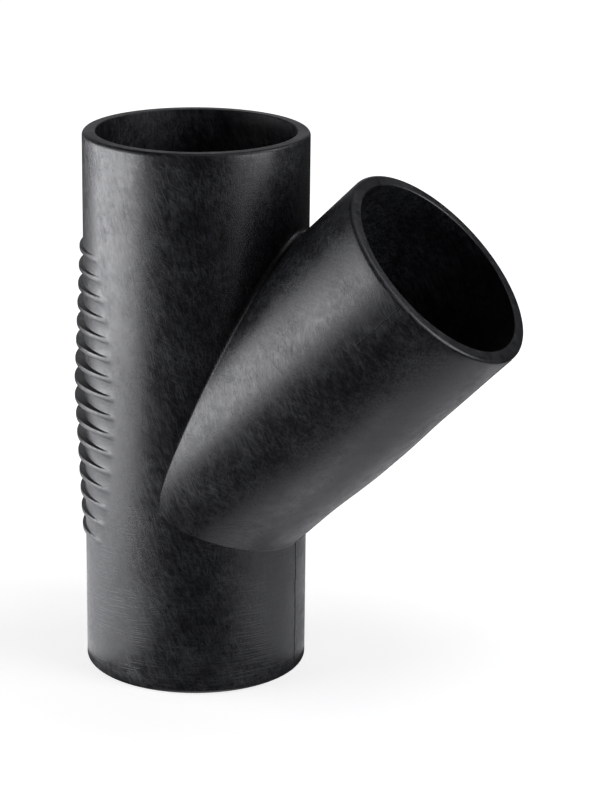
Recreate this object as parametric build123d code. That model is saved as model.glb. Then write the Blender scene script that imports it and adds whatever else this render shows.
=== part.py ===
from build123d import *
from build123d.topology import SkipClean
import math
import os

# Lateral wye fitting for drain pipe, moulded in one piece.
# The origin is the centre of the lower end face, +Z runs up the straight pipe,
# and the branch leans towards +X in the XZ plane. Millimetres and degrees.

# The pipe size that all three ends share
outer_diameter = 110.0
wall = 6.3

# Each leg runs from the point where the two centre lines cross to its end face
lower_leg = 90.0
upper_leg = 180.0
branch_leg = 180.0
branch_angle = 45.0

# Past the crotch the branch is a true cylinder, for a welded coupling
crotch_margin = 4.2

# The branch leaves the run a little slimmer than its end, which gives the root its nose
root_inset = 0.6

# Rounded and broken edges
rim_round = 2.0
bore_edge = 0.4
saddle_round = 2.0

# Stiffening ribs across the back, deepest in the middle of their row
rib_count = 16
rib_span = 143.0
rib_lift = 51.0
rib_thickness = 2.8
rib_middle_depth = 6.1
rib_end_depth = 2.2
rib_arc_inset = 2.0

# Radii and places that follow from the sizes above
outer_radius = outer_diameter / 2
bore_radius = outer_radius - wall
run_height = lower_leg + upper_leg
lean = math.radians(branch_angle)
crotch_distance = outer_radius / math.tan(lean / 2)
spigot_start = crotch_distance + crotch_margin
rib_pitch = rib_span / (rib_count - 1)
lowest_rib = lower_leg + rib_lift - rib_span / 2

# Local frame of the branch: z along its centre line, x towards its underside
branch_frame = Plane(
    origin=(0, 0, lower_leg),
    x_dir=(math.cos(lean), 0, -math.sin(lean)),
    z_dir=(math.sin(lean), 0, math.cos(lean)),
)
upright = (Align.CENTER, Align.CENTER, Align.MIN)


def turned_half(levels, rounded_start):
    """Half a solid bar, turned about Z through the given levels, rounded at its rims."""
    start, end = levels[0], levels[-1]
    low = start + rim_round if rounded_start else start
    wall_points = [(outer_radius, level) for level in [low, *levels[1:-1], end - rim_round]]
    outline = [
        Polyline(*wall_points),
        Spline(wall_points[-1], (outer_radius - rim_round, end), tangents=((0, 1), (-1, 0))),
        Line((outer_radius - rim_round, end), (0, end)),
        Line((0, end), (0, start)),
    ]
    if rounded_start:
        inner = (outer_radius - rim_round, start)
        outline += [Line((0, start), inner), Spline(inner, wall_points[0], tangents=((1, 0), (0, 1)))]
    else:
        outline.append(Line((0, start), wall_points[0]))
    profile = Plane.XZ * make_face(Curve() + outline)
    return revolve(profile, Axis.Z, 180, clean=False)


def run_body():
    """The straight pipe as a solid bar. Its back is parted halfway between each two ribs."""
    rings = [lowest_rib + (number + 0.5) * rib_pitch for number in range(rib_count - 1)]
    front = Rot(0, 0, -90) * turned_half([0, run_height], True)
    back = Rot(0, 0, 90) * turned_half([0, *rings, run_height], True)
    return front + back


def branch_body():
    """The branch as a solid bar: a slightly tapered root and a true cylinder at its end."""
    root = Cone(outer_radius - root_inset, outer_radius, spigot_start, align=upright)
    half = turned_half([spigot_start, branch_leg], False)
    return branch_frame * (root + half + half.mirror(Plane.XZ))


def joined_bars():
    """Run and branch in one body, with a soft concave saddle where they meet."""
    run = run_body()
    branch = branch_body()
    bars = run + branch
    return fillet(new_edges(run, branch, combined=bars), saddle_round)


def rib(height, depth):
    """A flat disc set off towards the back, so that a crescent stands out of the pipe."""
    arc_radius = outer_radius - rib_arc_inset
    return Pos(arc_radius - outer_radius - depth, 0, height) * Cylinder(arc_radius, rib_thickness)


def rib_row():
    """Evenly spaced ribs, whose depth falls in a straight line towards both ends."""
    half_row = (rib_count - 1) / 2
    row = []
    for number in range(rib_count):
        share = abs(number - half_row) / half_row
        depth = rib_middle_depth + (rib_end_depth - rib_middle_depth) * share
        row.append(rib(lowest_rib + number * rib_pitch, depth))
    return row


def waterways():
    """The straight bore and the branch bore, each running past its open ends."""
    overrun = outer_radius
    straight = Pos(0, 0, -overrun) * Cylinder(bore_radius, run_height + 2 * overrun, align=upright)
    slanted = Cylinder(bore_radius, branch_leg + overrun, align=upright)
    return straight + branch_frame * slanted


def wye_fitting():
    """The whole fitting: joined bars and ribs, bored through, inner edges broken."""
    body = joined_bars()
    for one_rib in rib_row():
        body = body + one_rib
    body = body - waterways()
    circles = body.edges().filter_by(GeomType.CIRCLE)
    mouths = [edge for edge in circles if abs(edge.radius - bore_radius) < bore_edge]
    return chamfer(mouths, bore_edge)


# The round faces stay parted in halves and rings, as they are built
with SkipClean():
    wye_body = wye_fitting()
wye_body.label = "wye_body"

os.makedirs("parts", exist_ok=True)
export_step(wye_body, "parts/wye_body.step")
print("wye_body:", round(wye_body.volume / 1000, 1), "cm3")
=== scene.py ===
# %% [markdown]
# # A lateral wye in black polyethylene
# This lesson dresses one moulded drain fitting: a straight pipe with a branch that leaves it
# at 45 degrees, ribs across its back, and plain ends for welding. The measured solid comes in
# first, as a fixed frame. Then a finer skin is laid over it, with the soft edges and the small
# faults that a mould leaves, and a satin black plastic is put on it.

# %% The measured solid
import math

import bmesh
import bpy
import numpy as np
from mathutils import Matrix


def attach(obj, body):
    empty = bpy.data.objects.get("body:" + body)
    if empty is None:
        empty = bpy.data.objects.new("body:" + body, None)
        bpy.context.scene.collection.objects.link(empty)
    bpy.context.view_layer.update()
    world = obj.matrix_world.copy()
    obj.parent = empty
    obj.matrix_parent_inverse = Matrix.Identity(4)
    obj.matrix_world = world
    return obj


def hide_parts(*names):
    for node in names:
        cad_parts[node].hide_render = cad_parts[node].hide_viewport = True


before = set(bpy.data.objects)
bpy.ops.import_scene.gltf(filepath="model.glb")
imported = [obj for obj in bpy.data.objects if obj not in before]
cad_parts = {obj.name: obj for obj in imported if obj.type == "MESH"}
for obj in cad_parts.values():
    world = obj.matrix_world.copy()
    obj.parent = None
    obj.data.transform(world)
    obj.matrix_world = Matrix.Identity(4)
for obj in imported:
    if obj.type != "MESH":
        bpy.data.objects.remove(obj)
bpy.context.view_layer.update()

# %% [markdown]
# The skin is made from the same few sizes as the solid, in millimetres, and only turned to
# metres at the very end. A pipe is a round wall, so each of its points is an angle and a
# height. The branch has its own angle and its own distance along a slanted centre line.

# %% Sizes of the fitting, in millimetres
OUTER = 55.0
BORE = 48.7
HEIGHT = 270.0
CROSSING = 90.0
BRANCH_END = 180.0
SPIGOT_START = 137.0
ROOT_INSET = 0.6
RIM_ROUND = 2.0
BORE_EDGE = 0.4
SADDLE_ROUND = 2.0
SLANT = math.sqrt(0.5)
BRANCH_WAY = np.array([SLANT, 0, SLANT])


def as_points(x, y, z):
    """Points from their three coordinates, each a number or a grid of numbers."""
    return np.stack(np.broadcast_arrays(x, y, z), -1)


def run_point(angle, height, radius):
    """A point of the straight pipe. Angle 0 faces the branch."""
    return as_points(radius * np.cos(angle), radius * np.sin(angle), height)


def branch_point(angle, along, radius):
    """A point of the branch. Angle 0 faces its underside."""
    under = radius * np.cos(angle)
    x, z = (along + under) * SLANT, CROSSING + (along - under) * SLANT
    return as_points(x, radius * np.sin(angle), z)


print("fitting is", HEIGHT, "mm tall, and its pipes are", 2 * OUTER, "mm across")

# %% [markdown]
# The underside of the branch isn't quite straight on the real part. It is pinched by a third
# of a millimetre where it leaves the pipe, and then it swells by a millimetre. A short list
# of measured places, eased from one to the next, does that better than any sculpting.

# %% Radius of the branch
UNDERSIDE_AT = [0.0, 46.0, 86.0, 100.0, 134.0, 165.0]
UNDERSIDE_SWELL = [-0.35, -0.35, 1.15, 1.15, 0.25, 0.0]


def eased(at, places, values):
    """Values along a line, with a soft S-curve from each place to the next."""
    at = np.asarray(at, float)
    low = np.clip(np.searchsorted(places, at, "right") - 1, 0, len(places) - 2)
    start, end = np.take(places, low), np.take(places, low + 1)
    share = np.clip((at - start) / (end - start), 0, 1)
    share = share * share * (3 - 2 * share)
    return np.take(values, low) * (1 - share) + np.take(values, low + 1) * share


def branch_radius(angle, along):
    """The branch's radius: a slight taper at its root, and the swell on its underside."""
    taper = ROOT_INSET * np.clip(1 - along / SPIGOT_START, 0, 1)
    swell = eased(along, UNDERSIDE_AT, UNDERSIDE_SWELL)
    return OUTER - taper + swell * np.clip(np.cos(angle), 0, 1) ** 2


print("branch swells by up to", max(UNDERSIDE_SWELL), "mm underneath")

# %% [markdown]
# The line where the two pipes meet is worked out, not found by a Boolean. A Boolean leaves
# long thin triangles along it, and they spoil the highlights on a glossy wall. Here each
# point of the branch is slid back along its own straight line until it touches the pipe, and
# a soft groove is then rolled along the line, as wide as a ball of 2 mm radius would make it.

# %% The seam of pipe and branch
STEPS = 110
FIRST_GUESS = 60.0
SLIDES = 40
TINY_TURN = 1e-4


def branch_out(angle):
    """The direction straight out of the branch's wall."""
    return branch_point(angle, 0.0, 1.0) - branch_point(angle, 0.0, 0.0)


def seam(angle):
    """Where the branch's wall meets the pipe, and the two borders of the groove between them."""
    along = np.full_like(angle, FIRST_GUESS)
    for _ in range(SLIDES):
        radius = branch_radius(angle, along)
        reach = np.sqrt(np.maximum(OUTER**2 - (radius * np.sin(angle)) ** 2, 0))
        along = reach / SLANT - radius * np.cos(angle)
    radius = branch_radius(angle, along)
    corner = branch_point(angle, along, radius)
    turn = np.arctan2(corner[:, 1], corner[:, 0])

    # The bend from one wall to the other says how wide the groove is
    run_out, out = as_points(np.cos(turn), np.sin(turn), 0), branch_out(angle)
    bend = np.arccos(np.clip((run_out * out).sum(-1), -1, 1))
    line = np.cross(run_out, out)
    line /= np.linalg.norm(line, axis=-1, keepdims=True)
    width = SADDLE_ROUND * np.tan(bend / 2)
    run_side = np.cross(line, run_out) * width[:, None]
    branch_side = np.cross(out, line) * width[:, None]

    # Each border lies that far along its own wall
    run_around = as_points(-np.sin(turn), np.cos(turn), 0)
    run_turn = turn + (run_side * run_around).sum(-1) / OUTER
    run_height = corner[:, 2] + run_side[:, 2]
    branch_around = as_points(-np.sin(angle) * SLANT, np.cos(angle), np.sin(angle) * SLANT)
    branch_turn = angle + (branch_side * branch_around).sum(-1) / radius
    branch_along = along + branch_side @ BRANCH_WAY
    return corner, np.cos(bend / 2), run_turn, run_height, branch_turn, branch_along


# The two ends lie in the mirror plane. They are worked out a hair beside it and put back on it
seam_angles = np.linspace(0, math.pi, STEPS + 1)
nudged = np.clip(seam_angles, TINY_TURN, math.pi - TINY_TURN)
corner, pull, run_turn, run_height, branch_turn, branch_along = seam(nudged)
run_turn[[0, -1]] = 0.0
branch_turn[[0, -1]] = 0.0, math.pi
print("seam runs from height", run_height[0].round(2), "to", run_height[-1].round(2), "mm")

# %% [markdown]
# A mesh is a list of points and a list of faces. Four small helpers fill them: one adds
# points, one lays four-sided faces on a grid of points, and two sew chains or rings of points
# together when they don't have the same number, like a zip with unequal teeth.

# %% Helpers that build the skin
points = []
faces = []


def add_points(grid):
    """Add points in any grid and return their numbers, in the same grid."""
    flat = np.asarray(grid, float).reshape(-1, 3)
    first = len(points)
    points.extend(flat.tolist())
    return np.arange(first, first + len(flat)).reshape(np.shape(grid)[:-1])


def lay_faces(ids, closed=False):
    """Four-sided faces between the rows and columns of a grid of point numbers."""
    if closed:
        ids = np.concatenate([ids, ids[:, :1]], 1)
    quads = np.stack([ids[:-1, :-1], ids[:-1, 1:], ids[1:, 1:], ids[1:, :-1]], -1)
    for quad in quads.reshape(-1, 4).tolist():
        ring = list(dict.fromkeys(quad))
        if len(ring) > 2:
            faces.append(ring)


def zip_chains(one, one_at, other, other_at):
    """Triangles between two chains of points, each with its own rising positions."""
    i = j = 0
    while i < len(one) - 1 or j < len(other) - 1:
        one_next = one_at[i + 1] if i < len(one) - 1 else math.inf
        other_next = other_at[j + 1] if j < len(other) - 1 else math.inf
        if one_next <= other_next:
            faces.append([int(one[i]), int(one[i + 1]), int(other[j])])
            i += 1
        else:
            faces.append([int(one[i]), int(other[j + 1]), int(other[j])])
            j += 1


def zip_rings(one, one_at, other, other_at):
    """The same for two closed rings, which both start at angle 0."""
    full = 2 * math.pi
    zip_chains([*one, one[0]], [*one_at, full], [*other, other[0]], [*other_at, full])


# %% [markdown]
# The ribs stiffen the wall across from the branch, where the bore's big side opening would
# let the pipe bend. Each one is a crescent: its outer edge is a smaller circle, set off
# towards the back. They are raised out of the pipe's own grid, so the plastic runs on
# without a break, with a small round at the root and a larger one along the edge.

# %% Shape of one rib
RIBS = 16
RIB_SPAN = 143.0
RIB_MIDDLE = 141.0
RIB_ARC = 53.0
RIB_DEEP, RIB_SHALLOW = 6.1, 2.2
RIB_PITCH = RIB_SPAN / (RIBS - 1)
MOST_ROUNDED = 0.45

# One side of a rib, from its root to its top: distance from its middle, whether the row is on
# the rib, and how far the rounding lifts the row off the wall or lowers it from the full edge
RIB_SIDE = [(2.0, False, 0.0), (1.68, False, 0.06), (1.46, False, 0.35), (1.38, True, 0.62),
            (1.28, True, 0.32), (1.06, True, 0.10), (0.72, True, 0.0)]
OTHER_SIDE = [(-distance, on_rib, rounding) for distance, on_rib, rounding in reversed(RIB_SIDE)]
RIB_ROWS = RIB_SIDE + [(0.0, True, 0.0)] + OTHER_SIDE


def rib_height(angle, depth):
    """How far a rib's outer circle stands out of the wall at an angle."""
    offset = OUTER - RIB_ARC + depth
    edge = -offset * np.cos(angle) + np.sqrt(RIB_ARC**2 - (offset * np.sin(angle)) ** 2)
    return np.maximum(edge - OUTER, 0.0)


def raised_wall(angle):
    """Rows of the back wall: heights and radii, with every rib raised."""
    heights, radii = [], []
    half_row = (RIBS - 1) / 2
    for number in range(RIBS):
        from_middle = abs(number - half_row) / half_row
        full = rib_height(angle, RIB_DEEP + (RIB_SHALLOW - RIB_DEEP) * from_middle)
        level = RIB_MIDDLE - RIB_SPAN / 2 + number * RIB_PITCH
        for distance, on_rib, rounding in RIB_ROWS:
            off = np.minimum(rounding, full * MOST_ROUNDED)
            heights.append(level - distance)
            radii.append(OUTER + (full - off if on_rib else off))
    return np.array(heights), np.array(radii)


print(RIBS, "ribs,", round(RIB_PITCH, 2), "mm apart")

# %% [markdown]
# The pipe's outer wall comes in two parts. The back carries the ribs, so its rows are close
# together there. The front has the opening for the branch, so its rows follow the seam.
# They are zipped together along both sides. The end rims go all the way round.

# %% Back wall of the straight pipe, with the ribs
BACK_COLUMNS = 110
BACK_END_ROWS = (20, 18)
RIB_CLEAR = 1.5
SIDE = math.pi / 2
GAP = math.radians(1.0)


def levels_about(middle, low, high, end_rows, clear):
    """Heights of a wall's rows: even ones from low up to the middle rows, and on to high."""
    below = np.linspace(low, middle[0] - clear, end_rows[0])
    above = np.linspace(middle[-1] + clear, high, end_rows[1])
    return np.concatenate([below, middle, above])


wall_low, wall_high = RIM_ROUND, HEIGHT - RIM_ROUND
back_angles = np.linspace(SIDE + GAP, 2 * math.pi - SIDE - GAP, BACK_COLUMNS + 1)
rib_levels, rib_radii = raised_wall(back_angles)
back_levels = levels_about(rib_levels, wall_low, wall_high, BACK_END_ROWS, RIB_CLEAR)
back_radii = np.pad(rib_radii, (BACK_END_ROWS, (0, 0)), constant_values=OUTER)
back = add_points(run_point(back_angles, back_levels[:, None], back_radii))
lay_faces(back)
print("back wall has", len(faces), "faces")

# %% Front wall of the straight pipe, with its opening
FRONT_COLUMNS = 26
FRONT_END_ROWS = (24, 20)
SEAM_CLEAR = 1.2
CLOSED = 1e-6


def spread(starts, end, columns):
    """Angles spread evenly in each row, from its own start to a common end."""
    starts = starts[:, None]
    return starts + (end - starts) * np.linspace(0, 1, columns + 1)


def two_halves(angles, levels, radius):
    """The right half of a wall and its mirror, joined where there is no opening."""
    right_half = add_points(run_point(angles, levels[:, None], radius))
    left_half = add_points(run_point(-angles, levels[:, None], radius))
    joined = angles[:, 0] < CLOSED
    left_half[joined, 0] = right_half[joined, 0]
    return right_half, left_half


front_levels = levels_about(run_height, wall_low, wall_high, FRONT_END_ROWS, SEAM_CLEAR)
front_angles = spread(np.pad(run_turn, FRONT_END_ROWS), SIDE - GAP, FRONT_COLUMNS)
right, left = two_halves(front_angles, front_levels, OUTER)
lay_faces(right)
lay_faces(left)
zip_chains(right[:, -1], front_levels, back[:, 0], back_levels)
zip_chains(left[:, -1], front_levels, back[:, -1], back_levels)
print("outer wall has", len(faces), "faces so far")

# %% [markdown]
# The groove along the seam is a strip between the opening's border and the first ring of
# the branch. Across it runs a true circular arc, written as a weighted curve: the sharper
# the corner, the less the corner point pulls. The seam is known for one half of the fitting,
# so it is walked up one side and, mirrored, down the other.

# %% Groove between the pipe and the branch
GROOVE_STEPS = 8

both = np.r_[0:STEPS + 1, STEPS - 1:0:-1]
mirror = np.where(np.arange(2 * STEPS) <= STEPS, 1.0, -1.0)
flip = as_points(1.0, mirror, 1.0)
ring_turn = branch_turn[both] * mirror
ring_along = branch_along[both]
border_rows = FRONT_END_ROWS[0] + both
border = np.where(mirror > 0, right[border_rows, 0], left[border_rows, 0])
border_at = run_point(run_turn, run_height, OUTER)[both] * flip
first_at = branch_point(ring_turn, ring_along, branch_radius(ring_turn, ring_along))
corner_pull = pull[both][:, None]
groove_rows = [border]
for step in np.linspace(0, 1, GROOVE_STEPS + 1)[1:]:
    start, middle, end = (1 - step) ** 2, 2 * corner_pull * step * (1 - step), step**2
    mixed = start * border_at + middle * corner[both] * flip + end * first_at
    groove_rows.append(add_points(mixed / (start + middle + end)))
lay_faces(np.array(groove_rows), closed=True)
print("groove is", len(groove_rows), "points wide and", len(both), "points round")

# %% [markdown]
# From the groove the branch runs straight to its mouth. Its columns leave the seam unevenly
# and slide to even angles on the way. The rim is rounded outside, flat in the middle and
# barely broken inside, like any moulded pipe end.

# %% Branch wall and rim
BRANCH_ROWS = 44

# Each row of a rounded rim: its radius, and how far it stays back from the end face
RIM_ROWS = [(OUTER - RIM_ROUND + RIM_ROUND * math.cos(bend), RIM_ROUND * (1 - math.sin(bend)))
            for bend in np.radians([15, 30, 45, 60, 75, 90])]

even_turn = seam_angles[both] * mirror
branch_rows = [groove_rows[-1]]
for share in np.linspace(0, 1, BRANCH_ROWS + 1)[1:]:
    turn = ring_turn + (even_turn - ring_turn) * share
    at = ring_along + (BRANCH_END - RIM_ROUND - ring_along) * share
    branch_rows.append(add_points(branch_point(turn, at, branch_radius(turn, at))))
for radius, inset in RIM_ROWS:
    branch_rows.append(add_points(branch_point(even_turn, BRANCH_END - inset, radius)))
branch_rows.append(add_points(branch_point(even_turn, BRANCH_END, BORE + BORE_EDGE)))
print("branch has", len(branch_rows), "rings outside")

# %% [markdown]
# The waterways are two bores of one size, so the line where they meet is simple: it lies in
# two flat planes. It stays sharp inside, as the cores of the mould leave it. The bore of the
# pipe is made like its front wall, and its opening starts from the last ring of the branch.

# %% Branch bore
BORE_ROWS = 30

bore_end = BRANCH_END - BORE_EDGE
inner_start = BORE * (np.abs(np.cos(even_turn)) / SLANT - np.cos(even_turn))
for share in np.linspace(0, 1, BORE_ROWS):
    at = bore_end + (inner_start - bore_end) * share
    branch_rows.append(add_points(branch_point(even_turn, at, BORE)))
lay_faces(np.array(branch_rows), closed=True)
inner_ring = branch_rows[-1]
print("branch has", len(branch_rows), "rings with its bore")

# %% Bore of the straight pipe
INNER_COLUMNS = 72
INNER_END_ROWS = (16, 16)
INNER_CLEAR = 1.5

cosine = np.cos(seam_angles)
seam_heights = CROSSING + BORE * (np.abs(cosine) - cosine / SLANT)
seam_turns = np.arccos(np.clip(np.abs(cosine), 0, 1))
bore_low, bore_high = BORE_EDGE, HEIGHT - BORE_EDGE
inner_levels = levels_about(seam_heights, bore_low, bore_high, INNER_END_ROWS, INNER_CLEAR)
inner_angles = spread(np.pad(seam_turns, INNER_END_ROWS), math.pi, INNER_COLUMNS)
inner_right, inner_left = two_halves(inner_angles, inner_levels, BORE)
inner_left[:, -1] = inner_right[:, -1]
opening_rows = slice(INNER_END_ROWS[0], INNER_END_ROWS[0] + STEPS + 1)
inner_right[opening_rows, 0] = inner_ring[:STEPS + 1]
inner_left[opening_rows, 0] = inner_ring[-np.arange(STEPS + 1) % (2 * STEPS)]
lay_faces(inner_right)
lay_faces(inner_left)
print("skin has", len(faces), "faces so far")

# %% Rims of the straight pipe
outer_turns = np.concatenate([front_angles[0], back_angles, 2 * math.pi - front_angles[0][:0:-1]])
inner_turns = np.linspace(0, 2 * math.pi, 2 * INNER_COLUMNS + 1)[:-1]


def close_end(row, end, way):
    """Round the rim, lay the flat end face and break the inner edge. way is +1 at the top."""
    rows = [np.concatenate([right[row], back[row], left[row][:0:-1]])]
    for radius, inset in RIM_ROWS:
        rows.append(add_points(run_point(outer_turns, end - way * inset, radius)))
    lay_faces(np.array(rows), closed=True)
    lip = add_points(run_point(inner_turns, end, BORE + BORE_EDGE))
    zip_rings(rows[-1], outer_turns, lip, inner_turns)
    bore_ring = np.concatenate([inner_right[row], inner_left[row][-2:0:-1]])
    lay_faces(np.array([lip, bore_ring]), closed=True)


close_end(0, 0.0, -1)
close_end(-1, HEIGHT, 1)
print("skin has", len(faces), "faces with its rims")

# %% [markdown]
# Now the points and faces become a mesh. Its faces are turned to look outwards, and edges
# that bend by more than 40 degrees stay sharp, so that only those edges break the shading.

# %% The skin as an object
MM = 0.001
CREASE = math.radians(40)


def make_piece(name, coords, polygons):
    """A smooth mesh from points in millimetres, riding on the fitting's only body."""
    mesh = bpy.data.meshes.new(name)
    mesh.from_pydata((np.array(coords) * MM).tolist(), [], polygons)
    work = bmesh.new()
    work.from_mesh(mesh)
    bmesh.ops.recalc_face_normals(work, faces=work.faces)
    loose = [vertex for vertex in work.verts if not vertex.link_faces]
    bmesh.ops.delete(work, geom=loose, context="VERTS")
    open_edges = sum(1 for edge in work.edges if len(edge.link_faces) != 2)
    work.to_mesh(mesh)
    work.free()
    mesh.shade_smooth()
    mesh.set_sharp_from_angle(angle=CREASE)
    piece = bpy.data.objects.new(name, mesh)
    bpy.context.scene.collection.objects.link(piece)
    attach(piece, "root")
    print(name, "has", len(mesh.polygons), "faces and", open_edges, "open edges")
    return piece


fitting = make_piece("wye_skin", points, faces)
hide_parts("wye_body")

# %% [markdown]
# Two hairlines show where the mould's halves met. A hairline is far too thin to cut into the
# grid, so each one is a low ridge laid along the wall: a narrow strip that wanders a little.
# Both its edges are sunk into the wall, so that only the ridge shows.

# %% A hairline
WANDER = 0.5
SMOOTHING = np.hanning(9) / np.hanning(9).sum()
SUNK = 0.15
TOP_SHARE = 0.4


def hairline(name, path, out, across, half_width, height, seed):
    """A low ridge along a path. out and across are directions at each point of the path."""
    noise = np.random.default_rng(seed).normal(0, 1, len(path))
    middle = path + across * np.convolve(noise, SMOOTHING, "same")[:, None] * WANDER
    half_top = half_width * TOP_SHARE
    profile = [(-half_width, -SUNK), (-half_top, height), (half_top, height), (half_width, -SUNK)]
    ridge = np.array([middle + across * side + out * lift for side, lift in profile])
    number = np.arange(len(profile) * len(path)).reshape(len(profile), len(path))
    beside = np.roll(number, -1, 0)
    quads = np.stack([number[:, :-1], beside[:, :-1], beside[:, 1:], number[:, 1:]], -1)
    ends = [number[:, 0].tolist(), number[::-1, -1].tolist()]
    return make_piece(name, ridge.reshape(-1, 3), quads.reshape(-1, 4).tolist() + ends)


# %% Parting line up the foot, over the groove and under the branch
FOOT_STEPS, UNDER_STEPS = 60, 70
FOOT_CLEAR = 0.5

foot_at = np.linspace(RIM_ROUND, run_height[0] - FOOT_CLEAR, FOOT_STEPS)
under_at = np.linspace(ring_along[0], BRANCH_END - RIM_ROUND, UNDER_STEPS)[1:]
low_path = np.concatenate([
    run_point(0.0, foot_at, OUTER),
    [points[row[0]] for row in groove_rows],
    branch_point(0.0, under_at, branch_radius(0.0, under_at)),
])
heading = np.gradient(low_path, axis=0)
low_out = as_points(heading[:, 2], 0, -heading[:, 0])
low_out /= np.linalg.norm(low_out, axis=-1, keepdims=True)
low_across = np.tile([0, 1.0, 0], (len(low_path), 1))
low_line = hairline("parting_line_under", low_path, low_out, low_across, 0.34, 0.20, 3)

# %% Parting line near the branch's mouth
LINE_TURN = math.radians(-84)
LINE_START = 148.0
LINE_STEPS = 40

line_at = np.linspace(LINE_START, BRANCH_END - RIM_ROUND, LINE_STEPS)
line_path = branch_point(LINE_TURN, line_at, OUTER)
line_out = np.tile(branch_out(LINE_TURN), (LINE_STEPS, 1))
line_across = np.cross(line_out, BRANCH_WAY)
branch_line = hairline("parting_line_branch", line_path, line_out, line_across, 0.36, 0.22, 5)

# %% [markdown]
# The fitting is high-density polyethylene, filled with a little carbon black and injection
# moulded. Carbon black gives a black that is very slightly cool. The mould leaves a satin
# skin, and every box and shelf since then has left fine scuffs in it. A material is a tree of
# nodes, and three helpers keep it short to write.

# %% Colour and node helpers
def linear(hex_colour):
    """An sRGB hex colour as linear red, green, blue and alpha."""
    channels = [int(hex_colour[i:i + 2], 16) / 255 for i in (1, 3, 5)]
    return [c / 12.92 if c <= 0.04045 else ((c + 0.055) / 1.055) ** 2.4 for c in channels] + [1.0]


def add_node(tree, kind, settings=None, links=None):
    """Add a shader node, set its fields and sockets, and link its inputs."""
    node = tree.nodes.new("ShaderNode" + kind)
    for name, value in (settings or {}).items():
        if isinstance(name, int) or name in node.inputs:
            node.inputs[name].default_value = value
        else:
            setattr(node, name, value)
    for name, source in (links or {}).items():
        tree.links.new(source, node.inputs[name])
    return node


def empty_material(name):
    """A new material with no nodes in it yet, and its tree."""
    material = bpy.data.materials.new(name)
    material.use_nodes = True
    material.node_tree.nodes.clear()
    return material, material.node_tree


print("mid grey is", round(linear("#808080")[0], 3), "in linear light")

# %% [markdown]
# A scuff is a line, and noise makes round spots, so the noise is stretched until its spots are
# lines. Boxes and racks leave broad smears and thin scuffs, most of them along one slant, and
# a coupling that was pushed on left short dashes round the foot. A real scuff is a few
# hundredths of a millimetre wide. Nothing under half a millimetre would show in the render, so
# the scuffs are drawn 0.7 mm wide.

# %% Smears, scuffs and rings
PER_METRE = 1000.0

# Each kind of streak: its width and height in mm, and the noise levels where it starts and
# where it is full
SMEARS = (1.8, 26.0, 0.36, 0.68)
SCUFFS = (0.7, 48.0, 0.52, 0.74)
RINGS = (12.0, 0.8, 0.50, 0.68)
SCUFF_TURNS = [(0, 26, 0), (4, 12, 0), (0, 58, 25)]
RING_TURN = (4, 3, 0)

# The rings are strong up to the first height, in metres, and weak above the second
FOOT_LOW, FOOT_HIGH = 0.045, 0.10
RINGS_STRONG, RINGS_WEAK = 0.7, 0.1


def streaks(tree, place, turn, kind):
    """Streaks of one kind in one direction: noise that is turned and then stretched."""
    width, height, low, high = kind
    scale = (PER_METRE / width, PER_METRE / width, PER_METRE / height)
    rotation = [math.radians(angle) for angle in turn]
    turned = add_node(tree, "Mapping", {"Rotation": rotation}, {"Vector": place}).outputs[0]
    stretched = add_node(tree, "VectorMath", {"operation": "MULTIPLY", 1: scale}, {0: turned})
    spots = add_node(tree, "TexNoise", {"Scale": 1.0, "Detail": 0.0},
                     {"Vector": stretched.outputs[0]})
    levels = {"From Min": low, "From Max": high, "interpolation_type": "SMOOTHSTEP"}
    return add_node(tree, "MapRange", levels, {"Value": spots.outputs[0]}).outputs[0]


def wear(tree, place):
    """The smears, the rings' dashes round the foot, and all thin marks together."""
    smear = streaks(tree, place, SCUFF_TURNS[0], SMEARS)
    marks = [streaks(tree, place, turn, SCUFFS) for turn in SCUFF_TURNS]
    rings = streaks(tree, place, RING_TURN, RINGS)
    height = add_node(tree, "SeparateXYZ", links={"Vector": place}).outputs[2]
    fade = {"From Min": FOOT_LOW, "From Max": FOOT_HIGH,
            "To Min": RINGS_STRONG, "To Max": RINGS_WEAK}
    foot = add_node(tree, "MapRange", fade, {"Value": height}).outputs[0]
    dashes = add_node(tree, "Math", {"operation": "MULTIPLY"}, {0: rings, 1: foot}).outputs[0]
    thin = marks[0]
    for mark in [*marks[1:], dashes]:
        thin = add_node(tree, "Math", {"operation": "MAXIMUM"}, {0: thin, 1: mark}).outputs[0]
    return smear, dashes, thin


print("scuffs are", SCUFFS[0], "mm wide and about", SCUFFS[1], "mm long")

# %% [markdown]
# Polyethylene has an index of refraction of 1.54, and as it leaves the mould it is about a
# third of the way from gloss to matt. Where it is worn it is rougher and a little greyer. The
# wear and the haze come in clouds of about 26 mm, with 4.5 mm mottling in them. The same
# patterns are raised by a few hundredths of a millimetre, so that the highlights break up.

# %% High-density polyethylene, injection moulded
CLOUD_MM, MOTTLE_MM = 26.0, 4.5
NOISE_LOW, NOISE_HIGH = 0.34, 0.66
BLACK, WORN_BLACK = "#07080a", "#34363a"
SMEAR_SHARE = 0.35
LEAST_WORN = 0.3
ROUGHNESS, HAZE_ROUGHER, WEAR_ROUGHER, MOTTLE_ROUGHER = 0.32, 0.08, 0.12, 0.05
WAVES_HIGH, SCUFFS_HIGH, RINGS_HIGH = 0.00007, 0.000015, 0.00007


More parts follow.
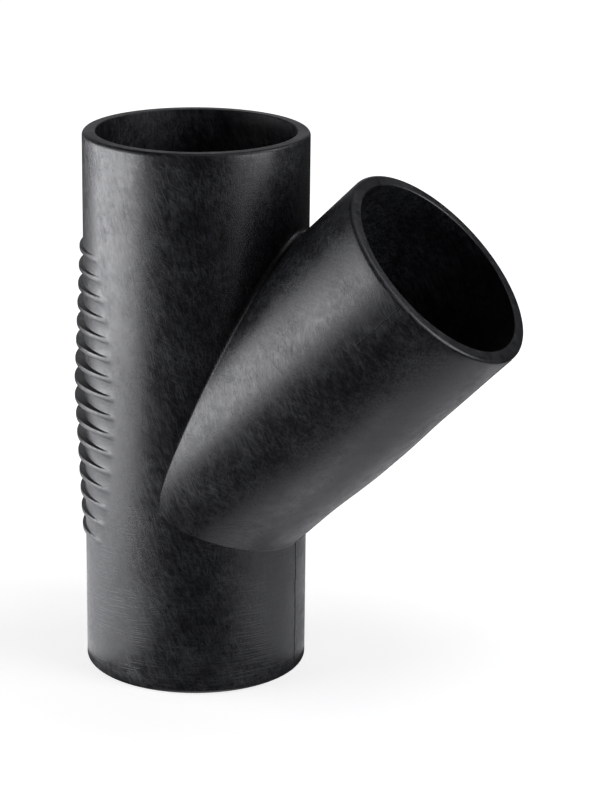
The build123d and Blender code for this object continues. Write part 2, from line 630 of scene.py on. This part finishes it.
def moulded_polyethylene():
    """Satin black plastic. MULTIPLY_ADD is input 0 times input 1, plus input 2."""
    material, tree = empty_material("moulded_polyethylene")
    place = add_node(tree, "TexCoord").outputs["Object"]
    clouds = {"Scale": PER_METRE / CLOUD_MM, "Detail": 6.0, "Roughness": 0.6}
    cloud = add_node(tree, "TexNoise", clouds, {"Vector": place}).outputs[0]
    mottling = {"Scale": PER_METRE / MOTTLE_MM, "Detail": 4.0, "Roughness": 0.6}
    mottle = add_node(tree, "TexNoise", mottling, {"Vector": place}).outputs[0]
    smear, dashes, thin = wear(tree, place)

    # Where it is worn: the smears and the thin marks, stronger in the clouds
    noise = {"From Min": NOISE_LOW, "From Max": NOISE_HIGH}
    haze = add_node(tree, "MapRange", noise, {"Value": cloud}).outputs[0]
    clouding = {"operation": "MULTIPLY_ADD", 1: 1 - LEAST_WORN, 2: LEAST_WORN}
    patches = add_node(tree, "Math", clouding, {0: haze}).outputs[0]
    smearing = {"operation": "MULTIPLY_ADD", 1: SMEAR_SHARE}
    marked = add_node(tree, "Math", smearing, {0: smear, 2: thin}).outputs[0]
    worn = add_node(tree, "Math", {"operation": "MULTIPLY"}, {0: marked, 1: patches}).outputs[0]

    # Roughness rises with the haze and the wear, and varies with the mottling
    hazing = {"operation": "MULTIPLY_ADD", 1: HAZE_ROUGHER, 2: ROUGHNESS}
    hazy = add_node(tree, "Math", hazing, {0: haze}).outputs[0]
    change = {**noise, "To Min": -MOTTLE_ROUGHER, "To Max": MOTTLE_ROUGHER}
    spots = add_node(tree, "MapRange", change, {"Value": mottle}).outputs[0]
    rough = add_node(tree, "Math", {"operation": "ADD"}, {0: hazy, 1: spots}).outputs[0]
    wearing = {"operation": "MULTIPLY_ADD", 1: WEAR_ROUGHER}
    rougher = add_node(tree, "Math", wearing, {0: worn, 2: rough}).outputs[0]

    # Worn places are greyer, in spots
    dusty = add_node(tree, "Math", {"operation": "MULTIPLY"}, {0: worn, 1: mottle}).outputs[0]
    blacks = {"data_type": "RGBA", 6: linear(BLACK), 7: linear(WORN_BLACK)}
    colour = add_node(tree, "Mix", blacks, {0: dusty}).outputs[2]

    # Relief in three layers, in metres: waves, scuffs, and the rings where there is haze
    ridges = add_node(tree, "Math", {"operation": "MULTIPLY"}, {0: dashes, 1: haze}).outputs[0]
    relief = {}
    for high, pattern in ((WAVES_HIGH, mottle), (SCUFFS_HIGH, worn), (RINGS_HIGH, ridges)):
        layer = {"Height": pattern, **relief}
        bump = add_node(tree, "Bump", {"Strength": 1.0, "Distance": high}, layer)
        relief = {"Normal": bump.outputs[0]}
    surface = {"Base Color": colour, "Roughness": rougher, **relief}
    shader = add_node(tree, "BsdfPrincipled", {"IOR": 1.54}, surface)
    add_node(tree, "OutputMaterial", links={"Surface": shader.outputs[0]})
    print(material.name, "has", len(tree.nodes), "nodes")
    return material


polyethylene = moulded_polyethylene()
for piece in (fitting, low_line, branch_line):
    piece.data.materials.append(polyethylene)
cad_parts["wye_body"].data.materials.clear()
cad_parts["wye_body"].data.materials.append(polyethylene)

# %% [markdown]
# The floor is a plain white sheet with the fitting's own soft shadow on it. A gloss black
# shows what stands round it and little else, and beside a plain white floor it would turn grey
# to its foot. So the sheet is there for the camera and its shadow. The plastic looks past it,
# to the few pale cards that the lamps' cell lays out. The sheet also glows, a little less near
# the fitting than far from it, so that it is white and still shows the shadow.

# %% Floor
FLOOR_HALF = 6.0
GLOW_NEAR, GLOW_FAR = 0.10, 0.45
LEAST_GLOW = 0.70


def plain_floor():
    """A large square that only the camera sees, and its white material."""
    material, tree = empty_material("white_sheet")
    place = add_node(tree, "TexCoord").outputs["Object"]
    away = add_node(tree, "VectorMath", {"operation": "LENGTH"}, {0: place}).outputs["Value"]
    fade = {"From Min": GLOW_NEAR, "From Max": GLOW_FAR, "To Min": LEAST_GLOW, "To Max": 1.0}
    strength = add_node(tree, "MapRange", fade, {"Value": away}).outputs[0]
    pale = add_node(tree, "BsdfDiffuse", {"Color": linear("#c8c8c8")}).outputs[0]
    glow = add_node(tree, "Emission", {"Color": linear("#ffffff")}, {"Strength": strength})
    white = add_node(tree, "AddShader", links={0: pale, 1: glow.outputs[0]}).outputs[0]
    add_node(tree, "OutputMaterial", links={"Surface": white})
    mesh = bpy.data.meshes.new("floor")
    ways = [(-1, -1), (1, -1), (1, 1), (-1, 1)]
    corners = [(x * FLOOR_HALF, y * FLOOR_HALF, 0) for x, y in ways]
    mesh.from_pydata(corners, [], [(0, 1, 2, 3)])
    mesh.materials.append(material)
    floor = bpy.data.objects.new("floor", mesh)
    bpy.context.scene.collection.objects.link(floor)
    floor.visible_diffuse = floor.visible_glossy = floor.visible_shadow = False


plain_floor()
print("floor is", 2 * FLOOR_HALF, "m across")

# %% [markdown]
# The camera was found by fitting the round ends and the straight outlines of the fitting.
# It is a long lens from a metre and a half away, a little above, tilted by under a degree.

# %% Camera
CAMERA_TURN = math.radians(26.681)
CAMERA_RISE = math.radians(17.309)
CAMERA_PITCH = math.radians(17.491)
CAMERA_YAW = math.radians(-2.166)
CAMERA_ROLL = math.radians(0.681)
CAMERA_DISTANCE = 1.421383
CAMERA_AIM = 0.139
FARTHEST_SEEN = 100
FOCAL_PIXELS = 2876.625
PHOTO_HEIGHT = 800
FILM_MM = 36.0
UP = np.array([0.0, 0, 1])


def put(thing, side, top, back, place):
    """Set an object's place and the directions of its own x, y and z axes."""
    turned = np.eye(4)
    turned[:3] = np.stack([side, top, back, place], -1)
    thing.matrix_world = Matrix(turned.tolist())


def level_way(turn):
    """A level direction. Turn 0 points along -y, and a quarter turn along x."""
    return np.array([math.sin(turn), -math.cos(turn), 0.0])


def place_camera():
    level = math.cos(CAMERA_RISE) * CAMERA_DISTANCE
    height = CAMERA_AIM + math.sin(CAMERA_RISE) * CAMERA_DISTANCE
    spot = level_way(CAMERA_TURN) * level + UP * height
    flat = -level_way(CAMERA_TURN + CAMERA_YAW)
    ahead = flat * math.cos(CAMERA_PITCH) - UP * math.sin(CAMERA_PITCH)
    side = np.cross(ahead, UP)
    side /= np.linalg.norm(side)
    top = np.cross(side, ahead)
    rolled_side = side * math.cos(CAMERA_ROLL) + top * math.sin(CAMERA_ROLL)
    rolled_top = top * math.cos(CAMERA_ROLL) - side * math.sin(CAMERA_ROLL)
    lens = bpy.data.cameras.new("camera")
    lens.sensor_width = FILM_MM
    lens.lens = FOCAL_PIXELS / PHOTO_HEIGHT * FILM_MM
    lens.clip_end = FARTHEST_SEEN
    camera = bpy.data.objects.new("camera", lens)
    bpy.context.scene.collection.objects.link(camera)
    put(camera, rolled_side, rolled_top, -ahead, spot)
    bpy.context.scene.camera = camera
    print("lens of", round(lens.lens, 1), "mm")


place_camera()

# %% [markdown]
# A round black wall shows its lamps as upright bands. On the real part a broad bright band
# runs down the left of the pipe and a weaker one down its right, with near black between
# them. So one soft window stands well to the left and a narrower one to the right, the room
# in front is dark, and pale cards lie round the foot. Every lamp is a rectangle, given by how
# bright it looks, where 1 is white, and its light is very slightly blue, as daylight is.

# %% Kinds of lamp
DAYLIGHT = "#fbfcff"


def soft_lamp(name, place, facing, along, width, length, brightness):
    """A rectangle of light. Its length runs along one direction, and its width across it."""
    light = bpy.data.lights.new(name, "AREA")
    light.color = linear(DAYLIGHT)[:3]
    light.shape = "RECTANGLE"
    light.size, light.size_y = width, length
    light.energy = brightness * math.pi * width * length
    lamp = bpy.data.objects.new(name, light)
    bpy.context.scene.collection.objects.link(lamp)
    put(lamp, -np.cross(facing, along), along, -facing, place)
    lamp.visible_camera = False


def way_out(degrees):
    """A level direction. 0 degrees points from the fitting to the camera, 90 to its right."""
    return level_way(CAMERA_TURN + math.radians(degrees))


def window(name, degrees, distance, width, foot, top, brightness):
    """A lamp that stands upright and faces the fitting."""
    out = way_out(degrees)
    place = out * distance + UP * (foot + top) / 2
    soft_lamp(name, place, -out, UP, width, top - foot, brightness)


def card(name, degrees, near, far, width, level, brightness):
    """A lit card that lies level and faces up, from near to far out from the pipe's centre."""
    out = way_out(degrees)
    place = out * (near + far) / 2 + UP * level
    soft_lamp(name, place, UP, out, width, far - near, brightness)


# %% Lamps, in degrees and metres
window("window_left", -89, 0.95, 1.20, -0.12, 0.36, 8.0)
window("window_left_top", -84, 0.95, 0.85, 0.36, 1.05, 1.0)
window("window_right", 60, 1.00, 0.60, 0.0, 0.90, 4.1)
window("window_right_top", 100, 0.80, 0.50, 0.75, 1.15, 3.0)
window("back_wall", 180, 1.60, 1.40, 0.10, 1.20, 0.38)
card("card_left", -96, 0.057, 0.25, 0.24, 0.002, 1.6)
card("card_left_far", -98, 0.25, 0.60, 0.45, 0.002, 2.0)
card("card_right", 98, 0.057, 0.30, 0.32, 0.002, 0.75)
card("card_back", 175, 0.057, 0.40, 0.40, 0.002, 1.1)
card("card_under", 16, 0.01, 0.22, 0.26, -0.25, 1.4)
soft_lamp("ceiling", np.array([0.35, 0.2, 1.15]), -UP, np.array([0.0, 1, 0]), 0.9, 0.9, 0.5)
print(len(bpy.data.lights), "lamps round the fitting")

# %% [markdown]
# The room is white where the camera looks straight at it, and nearly dark for everything else.
# So the background matches the sheet, and the black stays black.

# %% The room
DARK_ROOM = 0.04

world = bpy.data.worlds.new("room")
world.use_nodes = True
room = world.node_tree
rays = add_node(room, "LightPath").outputs["Is Camera Ray"]
level = add_node(room, "MapRange", {"To Min": DARK_ROOM, "To Max": 1.0}, {"Value": rays})
background = room.nodes["Background"]
background.inputs["Color"].default_value = linear("#ffffff")
room.links.new(level.outputs[0], background.inputs["Strength"])
bpy.context.scene.world = world
bpy.context.scene.view_settings.view_transform = "Standard"
print("room is lit at", DARK_ROOM, "of white")
